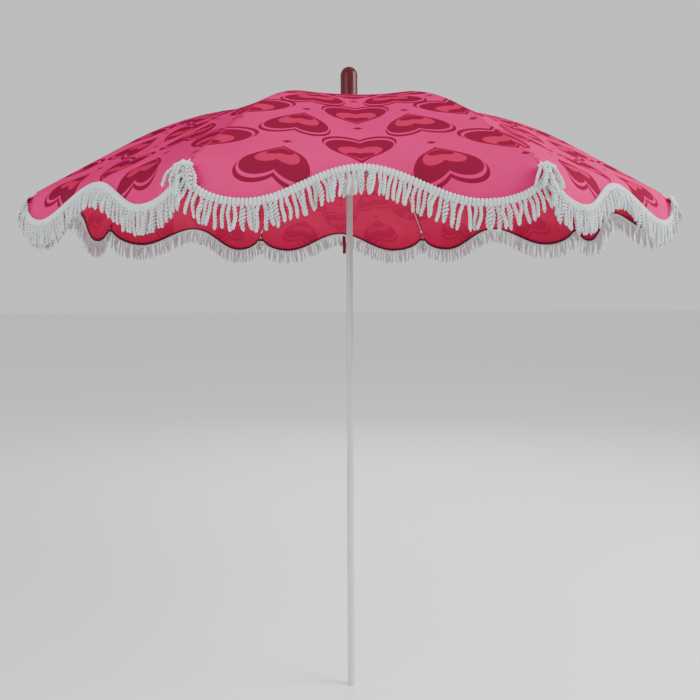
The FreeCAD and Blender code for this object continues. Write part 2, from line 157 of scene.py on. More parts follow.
def skirt_point(middle_angle, t, share):
    """From the panel's end (share 0) down to the scalloped edge (share 1)."""
    start_r = RIM_R * SKIRT_FROM
    start = panel_point(middle_angle, t, start_r)
    drop, out = lobe_edge(t - EDGE_SHIFT * sideways(middle_angle) * 4 * t * (1 - t))
    x, y = on_chord(middle_angle, t, RIM_R, out)
    end = Vector((x, y, RIM_Z - drop))
    flutter = math.sin(FLUTTER_X * x + FLUTTER_START) * math.cos(FLUTTER_Y * y) * FLUTTER * drop / LOBE_DROP
    outward = Vector((math.cos(middle_angle), math.sin(middle_angle), 0))
    end += outward * flutter
    reach = (end - start).length
    slope = outward * math.cos(SLOPE_OUT) - Vector((0, 0, 1)) * math.sin(SLOPE_OUT)
    hang = min(1.0, drop / (SKIRT_FULL * LOBE_DROP))
    steep = SLOPE_OUT + (SKIRT_STEEP - SLOPE_OUT) * hang
    fall = outward * math.cos(steep) - Vector((0, 0, 1)) * math.sin(steep)
    s = share
    return (
        start * (2 * s ** 3 - 3 * s ** 2 + 1)
        + slope * reach * (s ** 3 - 2 * s ** 2 + s)
        + end * (3 * s ** 2 - 2 * s ** 3)
        + fall * reach * (s ** 3 - s ** 2)
    )


# ---------------------------------------------------------------- node helpers

class Nodes:
    """A thin wrapper that makes shader nodes and links them in one call."""

    def __init__(self, tree):
        self.tree = tree

    def add(self, kind, **settings):
        made = self.tree.nodes.new(kind)
        inputs = settings.pop("inputs", {})
        for name, value in settings.items():
            setattr(made, name, value)
        for name, value in inputs.items():
            self.feed(made.inputs[name], value)
        return made

    def feed(self, socket, value):
        if isinstance(value, bpy.types.NodeSocket):
            self.tree.links.new(value, socket)
        else:
            socket.default_value = value

    def math(self, operation, a, b=None, c=None, clamp=False):
        made = self.add("ShaderNodeMath", operation=operation, use_clamp=clamp)
        for socket, value in zip(made.inputs, (a, b, c)):
            if value is not None:
                self.feed(socket, value)
        return made.outputs[0]

    def squares(self, a, b):
        return self.math("ADD", self.math("MULTIPLY", a, a), self.math("MULTIPLY", b, b))

    def mix(self, factor, a, b):
        made = self.add("ShaderNodeMix", data_type="RGBA")
        self.feed(made.inputs[0], factor)
        self.feed(made.inputs[6], a)
        self.feed(made.inputs[7], b)
        return made.outputs[2]

    def noise(self, scale, detail=2.0, vector=None, rough=0.5):
        inputs = {"Scale": scale, "Detail": detail, "Roughness": rough}
        made = self.add("ShaderNodeTexNoise", inputs=inputs)
        if vector is not None:
            self.feed(made.inputs["Vector"], vector)
        return made.outputs["Fac"]

    def ramp(self, value, low, high):
        inputs = {"Value": value, "From Min": low, "From Max": high}
        made = self.add("ShaderNodeMapRange", inputs=inputs)
        return made.outputs["Result"]

    def bump(self, height, strength, distance):
        inputs = {"Strength": strength, "Distance": distance, "Height": height}
        made = self.add("ShaderNodeBump", inputs=inputs)
        return made.outputs["Normal"]


def material(name, color, rough, **sockets):
    """A Principled material; returns it with its node wrapper and shader."""
    made = bpy.data.materials.new(name)
    made.use_nodes = True
    nodes = Nodes(made.node_tree)
    shader = made.node_tree.nodes["Principled BSDF"]
    shader.inputs["Base Color"].default_value = (*color, 1)
    shader.inputs["Roughness"].default_value = rough
    for socket, value in sockets.items():
        shader.inputs[socket.replace("_", " ")].default_value = value
    made.diffuse_color = (*color, 1)
    return made, nodes, shader


# ---------------------------------------------------------------- the print

HEART = 0.126                       # a printed heart, from its point to its lobes
HEART_HALF = 0.611                  # half its width, as a share of that
HEART_LEAN = 0.95                   # how far its sides rise from the point to the widest place
HEART_BEND = 0.80
HEART_TALL = 2.424                  # height of the curve that these two give
COLUMN = math.radians(20.9)         # hearts stand in rays this far apart, seen flat
ROW = 0.225                         # and this far apart along a ray
ROWS_AHEAD = 10                     # whole rows added, so that the remainder is never negative
POINTS_DOWN = 0.318                 # first point of the hearts that point to the rim
POINTS_UP = 0.477                   # first point of the hearts between them
ROW_START = 0.2                     # share of a row that lies before a heart's point
PRINT_FROM = 0.14                   # no hearts nearer the hub
SIDE_FROM = 0.375                   # nor in the side columns nearer than this
PRINT_TO = 1.045                    # last hearts of the middle and side columns
UP_LEAD = 0.045                     # what the hearts between reach before their first point
CRESCENT_FROM = 0.66                # height, in hearts, where the crescent starts
DIAMOND = (0.105, 0.065)            # half sizes of the small diamond
DIAMOND_BELOW = 0.22                # and its distance from the point
HEART_PARTS = {                     # where each heart of the motif has its point, height, width
    "outline": (0.0, 1.0, 1.0),
    "rose": (0.07, 0.60, 0.64),
    "small": (0.125, 0.26, 0.40),
    "gap": (0.0, 1.075, 1.05),
    "crescent": (0.05, 1.12, 1.11),
}


def heart_mask(nodes, side, up, point, height, width):
    """1 inside a heart with its point down at the given height."""
    x = nodes.math("DIVIDE", side, HEART_HALF * width)
    y = nodes.math("MULTIPLY_ADD", nodes.math("SUBTRACT", up, point), HEART_TALL / height, -1.0)
    rise = nodes.math("MULTIPLY", nodes.math("POWER", x, HEART_BEND), HEART_LEAN)
    lean = nodes.math("SUBTRACT", y, rise)
    return nodes.math("LESS_THAN", nodes.squares(x, lean), 1.0)


def heart_group():
    """Node group: how much of the dark and of the rose print lies at a place."""
    group = bpy.data.node_groups.new("heart_motif", "ShaderNodeTree")
    for name in ("Side", "Up"):
        group.interface.new_socket(name, in_out="INPUT", socket_type="NodeSocketFloat")
    for name in ("Dark", "Rose"):
        group.interface.new_socket(name, in_out="OUTPUT", socket_type="NodeSocketFloat")
    nodes = Nodes(group)
    source = nodes.add("NodeGroupInput")
    side = nodes.math("DIVIDE", source.outputs[0], HEART)
    up = nodes.math("DIVIDE", source.outputs[1], HEART)
    parts = {name: heart_mask(nodes, side, up, *sizes) for name, sizes in HEART_PARTS.items()}
    ring = nodes.math("SUBTRACT", parts["outline"], parts["rose"], clamp=True)
    crescent = nodes.math("SUBTRACT", parts["crescent"], parts["gap"], clamp=True)
    crescent = nodes.math("MULTIPLY", crescent, nodes.math("GREATER_THAN", up, CRESCENT_FROM))
    across = nodes.math("DIVIDE", side, DIAMOND[0])
    beyond = nodes.math("DIVIDE", nodes.math("ABSOLUTE", nodes.math("ADD", up, DIAMOND_BELOW)), DIAMOND[1])
    diamond = nodes.math("LESS_THAN", nodes.math("ADD", across, beyond), 1.0)
    dark = nodes.math("MAXIMUM", nodes.math("MAXIMUM", ring, parts["small"]), crescent)
    dark = nodes.math("MAXIMUM", dark, diamond)
    rose = nodes.math("SUBTRACT", parts["rose"], parts["small"], clamp=True)
    sink = nodes.add("NodeGroupOutput")
    group.links.new(dark, sink.inputs[0])
    group.links.new(rose, sink.inputs[1])
    return group


def printed(nodes, group):
    """Masks of the dark and the rose print over a whole panel, and the way to the seam."""
    place = nodes.add("ShaderNodeAttribute", attribute_name="print_place")
    split = nodes.add("ShaderNodeSeparateXYZ", inputs={"Vector": place.outputs["Vector"]})
    across = nodes.math("ABSOLUTE", split.outputs[0])
    along = split.outputs[1]
    reach = nodes.math("SQRT", nodes.squares(across, along))
    ray = nodes.math("ARCTAN2", across, along)
    masks = []
    for first, down in ((POINTS_DOWN, True), (POINTS_UP, False)):
        if down:
            nearest = nodes.math("ROUND", nodes.math("DIVIDE", ray, COLUMN))
            column = nodes.math("MULTIPLY", nearest, COLUMN)
        else:
            column = COLUMN / 2
        aside = nodes.math("ABSOLUTE", nodes.math("SUBTRACT", ray, column))
        side = nodes.math("MULTIPLY", reach, nodes.math("SINE", aside))
        out = nodes.math("MULTIPLY", reach, nodes.math("COSINE", aside))
        sign = -1 if down else 1
        shifted = nodes.math("MULTIPLY_ADD", out, sign, ROWS_AHEAD * ROW - sign * first + ROW_START * ROW)
        up = nodes.math("SUBTRACT", nodes.math("MODULO", shifted, ROW), ROW_START * ROW)
        one = nodes.add("ShaderNodeGroup", node_tree=group)
        nodes.feed(one.inputs[0], side)
        nodes.feed(one.inputs[1], up)
        if down:
            beside = nodes.math("GREATER_THAN", ray, COLUMN / 2)
            middle_only = nodes.math("MULTIPLY", beside, nodes.math("LESS_THAN", out, SIDE_FROM))
            from_hub = nodes.math("GREATER_THAN", out, PRINT_FROM)
            whole = nodes.math("MULTIPLY", from_hub, nodes.math("LESS_THAN", out, PRINT_TO))
            allowed = nodes.math("SUBTRACT", whole, middle_only, clamp=True)
        else:
            allowed = nodes.math("GREATER_THAN", out, POINTS_UP - UP_LEAD)
        masks.append([nodes.math("MULTIPLY", output, allowed) for output in one.outputs])
    dark = nodes.math("MAXIMUM", masks[0][0], masks[1][0])
    rose = nodes.math("MAXIMUM", masks[0][1], masks[1][1])
    return dark, rose, split.outputs[2]


def weave(nodes, pitch):
    """Height of a plain weave: two crossing sets of threads."""
    place = nodes.add("ShaderNodeTexCoord").outputs["Object"]
    total = None
    for direction in ("X", "Y", "Z"):
        inputs = {"Vector": place, "Scale": math.pi / (10 * pitch), "Distortion": 0.4, "Detail": 1.0}
        wave = nodes.add("ShaderNodeTexWave", bands_direction=direction, inputs=inputs)
        total = wave.outputs["Fac"] if total is None else nodes.math("ADD", total, wave.outputs["Fac"])
    return total


PINK = (0.600, 0.012, 0.140)
PINK_DEEP = (0.530, 0.009, 0.115)
MAROON = (0.175, 0.004, 0.026)
ROSE = (0.450, 0.007, 0.062)
CRIMSON = (0.425, 0.016, 0.062)
PALE_GRAIN = (0.8, 0.25, 0.4)       # lint on the outside
DULL_GRAIN = (0.6, 0.1, 0.2)        # and on the inside
CRIMSON_WORN = (0.520, 0.014, 0.075)
SHOW_THROUGH = (0.200, 0.006, 0.035)
STITCH = (0.20, 0.01, 0.04)
# painted shade in the crease along the seam over a rib, on the underside
SEAM_CREASE_SHADE = (0.16, 0.006, 0.03)
SEAM_HALF = 0.006                   # half the width of a sewn seam over a rib
STITCH_HALF = 0.0009
THREAD = 0.0011                     # pitch of the canopy's weave
THREAD_BUMP = 0.0006
LINT_SCALE = 900.0


def canopy_materials():
    group = heart_group()
    top, nodes, shader = material("canopy_print", PINK, 0.85, Specular_IOR_Level=0.0)
    dark, rose, seam = printed(nodes, group)
    cloudy = nodes.ramp(nodes.noise(2.5, 3.0), 0.3, 0.7)
    ground = nodes.mix(cloudy, (*PINK_DEEP, 1), (*PINK, 1))
    color = nodes.mix(rose, ground, (*ROSE, 1))
    color = nodes.mix(dark, color, (*MAROON, 1))
    grain = nodes.ramp(nodes.noise(LINT_SCALE, 2.0), 0.2, 0.8)
    color = nodes.mix(nodes.math("MULTIPLY", grain, 0.05), color, (*PALE_GRAIN, 1))
    off_line = nodes.math("ABSOLUTE", nodes.math("SUBTRACT", seam, SEAM_HALF))
    line = nodes.math("LESS_THAN", off_line, STITCH_HALF)
    color = nodes.mix(nodes.math("MULTIPLY", line, 0.45), color, (*STITCH, 1))
    nodes.feed(shader.inputs["Base Color"], color)
    fold = nodes.math("LESS_THAN", seam, SEAM_HALF)
    threads = nodes.math("MULTIPLY", weave(nodes, THREAD), 0.25)
    height = nodes.math("ADD", threads, nodes.math("MULTIPLY", fold, 1.4))
    nodes.feed(shader.inputs["Normal"], nodes.bump(height, 0.35, THREAD_BUMP))
    nodes.feed(shader.inputs["Roughness"], nodes.ramp(grain, -1.0, 1.6))

    under, nodes, shader = material("canopy_underside", CRIMSON, 0.9, Specular_IOR_Level=0.0)
    dark, rose, seam = printed(nodes, group)
    cloudy = nodes.ramp(nodes.noise(3.0, 3.0), 0.3, 0.7)
    ground = nodes.mix(cloudy, (*CRIMSON, 1), (*CRIMSON_WORN, 1))
    faint = nodes.math("ADD", nodes.math("MULTIPLY", dark, 0.38), nodes.math("MULTIPLY", rose, 0.14))
    color = nodes.mix(faint, ground, (*SHOW_THROUGH, 1))
    grain = nodes.ramp(nodes.noise(LINT_SCALE, 2.0), 0.2, 0.8)
    color = nodes.mix(nodes.math("MULTIPLY", grain, 0.08), color, (*DULL_GRAIN, 1))
    # the band along a rib's seam: on the underside it is painted crease shade, darkening the colour, and it also
    # raises the bump
    fold = nodes.math("LESS_THAN", seam, SEAM_HALF)
    color = nodes.mix(nodes.math("MULTIPLY", fold, 0.35), color, (*SEAM_CREASE_SHADE, 1))
    nodes.feed(shader.inputs["Base Color"], color)
    threads = nodes.math("MULTIPLY", weave(nodes, THREAD), 0.25)
    height = nodes.math("ADD", threads, fold)
    nodes.feed(shader.inputs["Normal"], nodes.bump(height, 0.3, THREAD_BUMP))
    nodes.feed(shader.inputs["Roughness"], nodes.ramp(grain, -1.2, 1.4))
    return top, under


def cord_material(name, light, shade, pitch):
    """Soft cotton: pale yarn, darker between its fibres as painted shade, and darker in random patches."""
    soft = {"Sheen_Weight": 0.4, "Sheen_Roughness": 0.6, "Specular_IOR_Level": 0.15}
    made, nodes, shader = material(name, light, 0.92, **soft)
    fibres = nodes.noise(1.0 / pitch, 4.0, rough=0.7)
    patchy = nodes.noise(18.0, 2.0)
    # painted shade between the fibres: the yarn takes the shade colour where the fibre noise is low
    color = nodes.mix(nodes.ramp(fibres, 0.35, 0.65), (*shade, 1), (*light, 1))
    color = nodes.mix(nodes.math("MULTIPLY", nodes.ramp(patchy, 0.4, 0.8), 0.25), color, (*shade, 1))
    nodes.feed(shader.inputs["Base Color"], color)
    nodes.feed(shader.inputs["Normal"], nodes.bump(fibres, 0.5, 0.0012))
    nodes.feed(shader.inputs["Roughness"], nodes.ramp(fibres, -2.0, 1.2))
    return made


def tape_material(name, color):
    made, nodes, shader = material(name, color, 0.85, Specular_IOR_Level=0.2)
    threads = weave(nodes, 0.0009)
    # painted shade: the tape is darker where its weave lies low, as if shaded between the threads
    weave_gap_shade = tuple(0.55 * c for c in color)
    shade = nodes.ramp(threads, 0.5, 2.2)
    nodes.feed(shader.inputs["Base Color"], nodes.mix(shade, (*weave_gap_shade, 1), (*color, 1)))
    nodes.feed(shader.inputs["Normal"], nodes.bump(threads, 0.4, 0.0005))
    nodes.feed(shader.inputs["Roughness"], nodes.ramp(threads, -6.0, 3.0))
    return made


def stretched(nodes, scale):
    """Places on an object, scaled differently along each of its axes."""
    place = nodes.add("ShaderNodeTexCoord").outputs["Object"]
    return nodes.add("ShaderNodeMapping", inputs={"Vector": place, "Scale": scale}).outputs[0]


def metal_material(name, color, rough, metallic, scratch_scale, coat=0.0):
    """Painted or plated tube: faint lengthwise scratches and rubbed patches."""
    layers = {"Metallic": metallic, "Coat_Weight": coat, "Coat_Roughness": 0.25}
    made, nodes, shader = material(name, color, rough, **layers)
    place = stretched(nodes, (scratch_scale, scratch_scale, scratch_scale * 0.03))
    scratch = nodes.noise(1.0, 3.0, vector=place)
    patch = nodes.noise(9.0, 3.0)
    worn = tuple(0.86 * c for c in color)
    rubbed = nodes.ramp(patch, 0.35, 0.7)
    nodes.feed(shader.inputs["Base Color"], nodes.mix(rubbed, (*color, 1), (*worn, 1)))
    spread = nodes.math("ADD", nodes.math("MULTIPLY", scratch, 0.25), rough - 0.12)
    nodes.feed(shader.inputs["Roughness"], spread)
    nodes.feed(shader.inputs["Normal"], nodes.bump(scratch, 0.12, 0.0003))
    return made


def plastic_material(name, color, rough):
    made, nodes, shader = material(name, color, rough)
    fine = nodes.noise(1400.0, 2.0)
    patch = nodes.noise(14.0, 2.0)
    dusty = tuple(min(1.0, 0.9 * c + 0.03) for c in color)
    dust = nodes.ramp(patch, 0.3, 0.7)
    nodes.feed(shader.inputs["Base Color"], nodes.mix(dust, (*color, 1), (*dusty, 1)))
    nodes.feed(shader.inputs["Roughness"], nodes.ramp(patch, -2.5, 2.5))
    nodes.feed(shader.inputs["Normal"], nodes.bump(fine, 0.15, 0.0003))
    return made


WOOD = (0.17, 0.028, 0.034)
WOOD_DARK = (0.046, 0.006, 0.009)
WOOD_LIGHT = (0.115, 0.014, 0.018)
WOOD_PORE = (0.045, 0.008, 0.012)


def wood_material():
    """Dark red stained wood under varnish, its grain running up the knob."""
    layers = {"Specular_IOR_Level": 0.15, "Coat_Weight": 0.07, "Coat_Roughness": 0.12}
    made, nodes, shader = material("finial_varnish", WOOD, 0.4, **layers)
    place = stretched(nodes, (60.0, 60.0, 5.0))
    grain = nodes.noise(1.0, 5.0, vector=place, rough=0.65)
    pores = nodes.noise(5.0, 3.0, vector=place)
    color = nodes.mix(nodes.ramp(grain, 0.32, 0.68), (*WOOD_DARK, 1), (*WOOD_LIGHT, 1))
    speck = nodes.math("MULTIPLY", nodes.ramp(pores, 0.6, 0.75), 0.5)
    color = nodes.mix(speck, color, (*WOOD_PORE, 1))
    nodes.feed(shader.inputs["Base Color"], color)
    nodes.feed(shader.inputs["Roughness"], nodes.ramp(grain, -0.6, 2.4))
    nodes.feed(shader.inputs["Normal"], nodes.bump(pores, 0.1, 0.0004))
    return made


# ---------------------------------------------------------------- mesh helpers

def mesh_object(name, points, faces, materials, smooth=True):
    data = bpy.data.meshes.new(name)
    data.from_pydata([tuple(p) for p in points], [], faces)
    data.validate()
    made = bpy.data.objects.new(name, data)
    bpy.context.scene.collection.objects.link(made)
    for one in materials:
        data.materials.append(one)
    data.polygons.foreach_set("use_smooth", [smooth] * len(data.polygons))
    return made


def thicken(thing, thickness, offset):
    """Give a sheet its thickness; its cut edges stay sharp."""
    solid = thing.modifiers.new("thickness", "SOLIDIFY")
    solid.thickness = thickness
    solid.offset = offset
    solid.material_offset = 1
    solid.material_offset_rim = 1
    skins = 2 * len(thing.data.polygons)
    apply_modifiers(thing)
    for face in thing.data.polygons[skins:]:
        face.use_smooth = False
    return thing


def apply_modifiers(thing):
    bpy.context.view_layer.update()
    graph = bpy.context.evaluated_depsgraph_get()
    shown = thing.evaluated_get(graph)
    data = bpy.data.meshes.new_from_object(shown, preserve_all_data_layers=True, depsgraph=graph)
    thing.modifiers.clear()
    thing.data = data
    return thing


NOT_PARALLEL = 0.013                # keeps a tube's first side off its own direction


class Builder:
    """Collects tubes, plates and turned shapes into one mesh."""

    def __init__(self):
        self.points = []
        self.faces = []

    def grid(self, rows, closed=False):
        """Quads between equally long rows of points."""
        start = len(self.points)
        width = len(rows[0])
        for row in rows:
            self.points.extend(row)
        across = width if closed else width - 1
        for i in range(len(rows) - 1):
            for j in range(across):
                a = start + i * width + j
                b = start + i * width + (j + 1) % width
                self.faces.append((a, b, b + width, a + width))
        return start, width

    def capped(self, rows):
        """Closed rings of points, the first and the last ring filled."""
        start, width = self.grid(rows, closed=True)
        last = start + (len(rows) - 1) * width
        self.faces.append(tuple(start + k for k in reversed(range(width))))
        self.faces.append(tuple(last + k for k in range(width)))

    def tube(self, path, radii, sides):
        """A closed tube along a path, its ends drawn together and capped."""
        rows = []
        for i, centre in enumerate(path):
            before = path[max(i - 1, 0)]
            after = path[min(i + 1, len(path) - 1)]
            along = (after - before).normalized()
            side = Vector((along.y, -along.x, NOT_PARALLEL))
            side = (side - along * side.dot(along)).normalized()
            other = along.cross(side)
            ring = []
            for k in range(sides):
                angle = 2 * math.pi * k / sides
                ring.append(centre + (side * math.cos(angle) + other * math.sin(angle)) * radii[i])
            rows.append(ring)
        self.capped(rows)


def turned(name, outline, sides, materials):
    """A solid of revolution about the pole's axis, from (radius, height) points."""
    build = Builder()
    rows = []
    for radius, height in outline:
        ring = []
        for k in range(sides):
            angle = 2 * math.pi * k / sides
            ring.append(Vector((radius * math.cos(angle), radius * math.sin(angle), height)))
        rows.append(ring)
    build.capped(rows)
    return mesh_object(name, build.points, build.faces, materials)


# ---------------------------------------------------------------- canopy

def rib_angle(k):
    return HALF * (2 * k + 1)


def tip_shares(count):
    """Shares of the chord from a rib (0) to the middle (0.5), closer near the rib.

    The last step is very narrow, which keeps the shading even across the meeting strips.
    """
    return [0.5 * (i / count) ** CROWD for i in range(count)] + [MEETING, 0.5]


PANEL_ROWS = 40
SKIRT_ROWS = 12
HALF_COLUMNS = 26
CROWD = 1.45                        # above 1, columns stand closer near the rib
MEETING = 0.4993                    # share of the chord of the last column but one
START_R = 0.030                     # the strips begin this far from the axis


def column_points(middle_angle, t):
    """Points and print places down one line of the fabric, from the hub to its edge."""
    points = []
    for i in range(PANEL_ROWS):
        radius = START_R + (RIM_R * SKIRT_FROM - START_R) * i / PANEL_ROWS
        points.append(panel_point(middle_angle, t, radius))
    for i in range(SKIRT_ROWS + 1):
        points.append(skirt_point(middle_angle, t, i / SKIRT_ROWS))
    places = []
    along = START_R
    shift = sideways(middle_angle)
    outward = Vector((math.cos(middle_angle), math.sin(middle_angle), 0))
    aside = Vector((-outward.y, outward.x, 0))
    for i, point in enumerate(points):
        if i:
            step = point - points[i - 1]
            along += math.hypot(step.dot(outward), step.z)
        across = point.dot(aside)
        limit = point.dot(outward) * math.tan(HALF)
        places.append((across - shift, along, max(0.0, (limit - abs(across)) * math.cos(HALF))))
    return points, places


def store_places(piece, places):
    """Give each point its place in the print: across the panel, along it, from the seam."""
    attribute = piece.data.attributes.new("print_place", "FLOAT_VECTOR", "POINT")
    attribute.data.foreach_set("vector", [number for place in places for number in place])


def canopy_strip(k, top, under):
    """The fabric of one rib: half a panel on each side of it, with a share of the lobes."""
    columns = []
    shares = tip_shares(HALF_COLUMNS)
    for t in reversed(shares):
        columns.append(column_points(rib_angle(k) - HALF, 1 - t))
    for t in shares[1:]:
        columns.append(column_points(rib_angle(k) + HALF, t))
    build = Builder()
    build.grid([[p for p in points] for points, places in columns])
    strip = mesh_object("canopy_fabric_%d" % (k + 1), build.points, build.faces, [top, under])
    store_places(strip, [place for points, places in columns for place in places])
    return thicken(strip, CLOTH, -1)


EDGE_STEPS = 400                    # fine steps that an edge's length is added up from


def edge_points(middle_angle, low, high, count):
    """Evenly spaced points along the scalloped edge between two shares of the chord."""
    raw = []
    for i in range(EDGE_STEPS + 1):
        t = low + (high - low) * i / EDGE_STEPS
        raw.append(skirt_point(middle_angle, t, 1.0))
    lengths = [0.0]
    for a, b in zip(raw, raw[1:]):
        lengths.append(lengths[-1] + (b - a).length)
    found = []
    at = 0
    for i in range(count):
        want = lengths[-1] * (i + 0.5) / count
        while lengths[at + 1] < want:
            at += 1
        part = (want - lengths[at]) / (lengths[at + 1] - lengths[at])
        t = low + (high - low) * (at + part) / EDGE_STEPS
        point = raw[at].lerp(raw[at + 1], part)
        along = (raw[at + 1] - raw[at]).normalized()
        found.append((t, point, along))
    return found


STRANDS = 37                        # hanging cords on half a panel's edge
HEADS = 50                          # short cords in the heading over the same length
PLY = 0.0026                        # radius of one of a cord's two plies
PLY_APART = 0.0022                  # from a cord's middle to the middle of a ply
PLY_SIDES = 7
PLY_STEPS = 20
TWIST = 0.0150                      # length of one turn of the twist
SWAY_ALONG = 0.0050                 # how far the cords' ends stray
SWAY_OUT = 0.004
SWAY_CURVE = 1.6                    # above 1, they stray mostly near their ends
LEAN_OUT = 0.001                    # and lean outward by this on average
CORD_START = 0.001                  # below the fabric's edge
SINK = 0.45                         # share of its slant that a cord loses by its end
SWING = (0.0006, 0.0024)            # least and most waviness of a cord
SWING_TURN = 7.0
TURN_SPREAD = (0.85, 1.15)          # least and most twist of a cord
CORD_SPREAD = (0.93, 1.05)          # and length
JOIN = 9.0                          # the plies draw together over the last ninth of a cord
TAPER = 14.0                        # and get thinner over the last fourteenth
TAPER_KEEP = 0.55                   # down to this share
GAPE = (0.0015, 0.0040)             # how far the plies of a loose cord stand apart
LOOSE = (0, 0, 0, 1)                # one cord in four is loose
FRINGE_OUT = 0.0030                 # the fringe's middle stands off the fabric
ROOT_STRAY = 0.0014
CORD_SHORT = 0.013                  # a cord is shorter than the whole fringe by this
HEAD_UP = 0.007                     # the heading reaches above the fabric's edge
HEAD_ARCH = 0.0008                  # one of its ribs bulges out by this
HEAD_SIDES = 8
# one rib of the heading: shares of its length, and of its radius there
HEAD_SHAPE = ((0.0, 0.55), (0.1, 0.85), (0.25, 1.0), (0.5, 0.96), (0.75, 1.0), (1.0, 0.7))
PLUMB = Vector((0, 0, -1))
FALL_FROM = 0.85                    # share of the skirt from which its fall at the edge is taken


def hang_direction(middle_angle, t, along):
    """Away from the fabric at right angles to its edge, and the way out from the panel."""
    outward = Vector((math.cos(middle_angle), math.sin(middle_angle), 0))
    above = skirt_point(middle_angle, t, FALL_FROM)
    fall = skirt_point(middle_angle, t, 1.0) - above
    square = (fall - along * fall.dot(along)).normalized()
    if square.z > 0:
        square = PLUMB
    return (square * SQUARE + PLUMB * (1 - SQUARE)).normalized(), outward


def strand(build, rng, root, down, outward, along, length):
    """One looped cord: two plies wound round each other, joined at the lower end."""
    sway = along * rng.gauss(0, SWAY_ALONG) + outward * rng.gauss(LEAN_OUT, SWAY_OUT)
    sink = (PLUMB - down) * SINK * length
    phase = rng.uniform(0, 2 * math.pi)
    bend = rng.uniform(0, 2 * math.pi)
    swing = rng.uniform(*SWING)
    turns = length / TWIST * rng.uniform(*TURN_SPREAD)
    open_up = rng.choice(LOOSE) * rng.uniform(*GAPE)
    for ply in (0, 1):
        path = []
        radii = []
        for i in range(PLY_STEPS):
            s = i / (PLY_STEPS - 1)
            centre = root + down * length * s + sink * s ** 2 + sway * s ** SWAY_CURVE
            wave = math.sin(bend + SWING_TURN * s) - math.sin(bend)
            centre += along * swing * wave * min(1.0, 3 * s)
            angle = phase + math.pi * ply + 2 * math.pi * turns * s
            spread = PLY_APART + open_up * math.sin(math.pi * s) ** 2
            close = min(1.0, (1 - s) * JOIN) ** 0.5
            offset = (along * math.cos(angle) + outward * math.sin(angle)) * spread * close
            path.append(centre + offset)
            taper = min(1.0, (1 - s) * TAPER) ** 0.5
            radii.append(PLY * (TAPER_KEEP + (1 - TAPER_KEEP) * taper))
        build.tube(path, radii, PLY_SIDES)


def fringe_half(build, rng, middle_angle, low, high):
    """Heading and hanging cords along half a panel's edge."""
    for t, point, along in edge_points(middle_angle, low, high, HEADS):
        down, outward = hang_direction(middle_angle, t, along)
        head_rib(build, point + outward * FRINGE_OUT - down * HEAD_UP, down, outward)
    for t, point, along in edge_points(middle_angle, low, high, STRANDS):
        down, outward = hang_direction(middle_angle, t, along)
        root = point + outward * FRINGE_OUT + down * CORD_START + along * rng.gauss(0, ROOT_STRAY)
        length = (FRINGE - CORD_SHORT) * rng.uniform(*CORD_SPREAD)
        strand(build, rng, root, down, outward, along, length)


def head_rib(build, root, down, outward):
    """One short cord of the ribbed heading, lying over the fabric's edge."""
    path = []
    radii = []
    for s, share in HEAD_SHAPE:
        path.append(root + down * HEADING * s + outward * HEAD_ARCH * math.sin(math.pi * s))
        radii.append(HEAD_RADIUS * share)
    build.tube(path, radii, HEAD_SIDES)


FAN_ABOVE = 0.002                   # the fan lies this far above the corner of the fabric
FAN_BACK = 0.004                    # and starts this far back from it
FAN_WIDE = 0.010                    # its outermost cords start this far aside
FAN_DROP = 0.006                    # and this much lower
FAN_WAY = 0.75                      # a hanging cord's slant: so much outward
FAN_PLUMB = 0.45                    # and so much down
FAN_ROOT = 0.006                    # how far out its hanging cords start
FAN_SHORT = 0.012                   # they are shorter than the whole fringe by this
FAN_LENGTHS = (0.85, 1.0)


def corner_fan(build, rng, k):
    """The fringe turning the corner over the rib's tip: its heading and cords spread out."""
    angle = rib_angle(k)
    away = Vector((math.cos(angle), math.sin(angle), 0))
    aside = Vector((-away.y, away.x, 0))
    falling = away * math.cos(SLOPE_OUT) + PLUMB * math.sin(SLOPE_OUT)
    above = away * math.sin(SLOPE_OUT) - PLUMB * math.cos(SLOPE_OUT)
    corner = Vector((away.x * RIM_R, away.y * RIM_R, RIM_Z)) + above * FAN_ABOVE - falling * FAN_BACK
    for i in range(FAN):
        turn = math.radians(FAN_SPREAD) * (2 * i / (FAN - 1) - 1)
        way = falling * math.cos(turn) + aside * math.sin(turn)
        root = corner + aside * FAN_WIDE * math.sin(turn) + PLUMB * FAN_DROP * abs(math.sin(turn))
        head_rib(build, root - way * FAN_BACK, way, above)
        if i % 2:
            slant = (way * FAN_WAY + PLUMB * FAN_PLUMB).normalized()
            length = (FRINGE - FAN_SHORT) * rng.uniform(*FAN_LENGTHS)
            strand(build, rng, root + way * FAN_ROOT, slant, above, aside, length)


def fringe(k, cotton):
    build = Builder()
    rng = random.Random(100 + k)
    corner_fan(build, rng, k)
    fringe_half(build, rng, rib_angle(k) - HALF, 0.5, 1.0)
    fringe_half(build, rng, rib_angle(k) + HALF, 0.0, 0.5)
    return mesh_object("fringe_cords_%d" % (k + 1), build.points, build.faces, [cotton])


HEM_WIDTH = 0.0075
HEM_THICK = 0.0012
HEM_GAP = 0.0004                    # between the fabric and the tape
HEM_STOP = 0.015                    # share of the chord where the tape stops short of a corner
HEM_STEPS = 60
HEM_FALL_FROM = 0.9                 # share of the skirt from which the tape's slope is taken


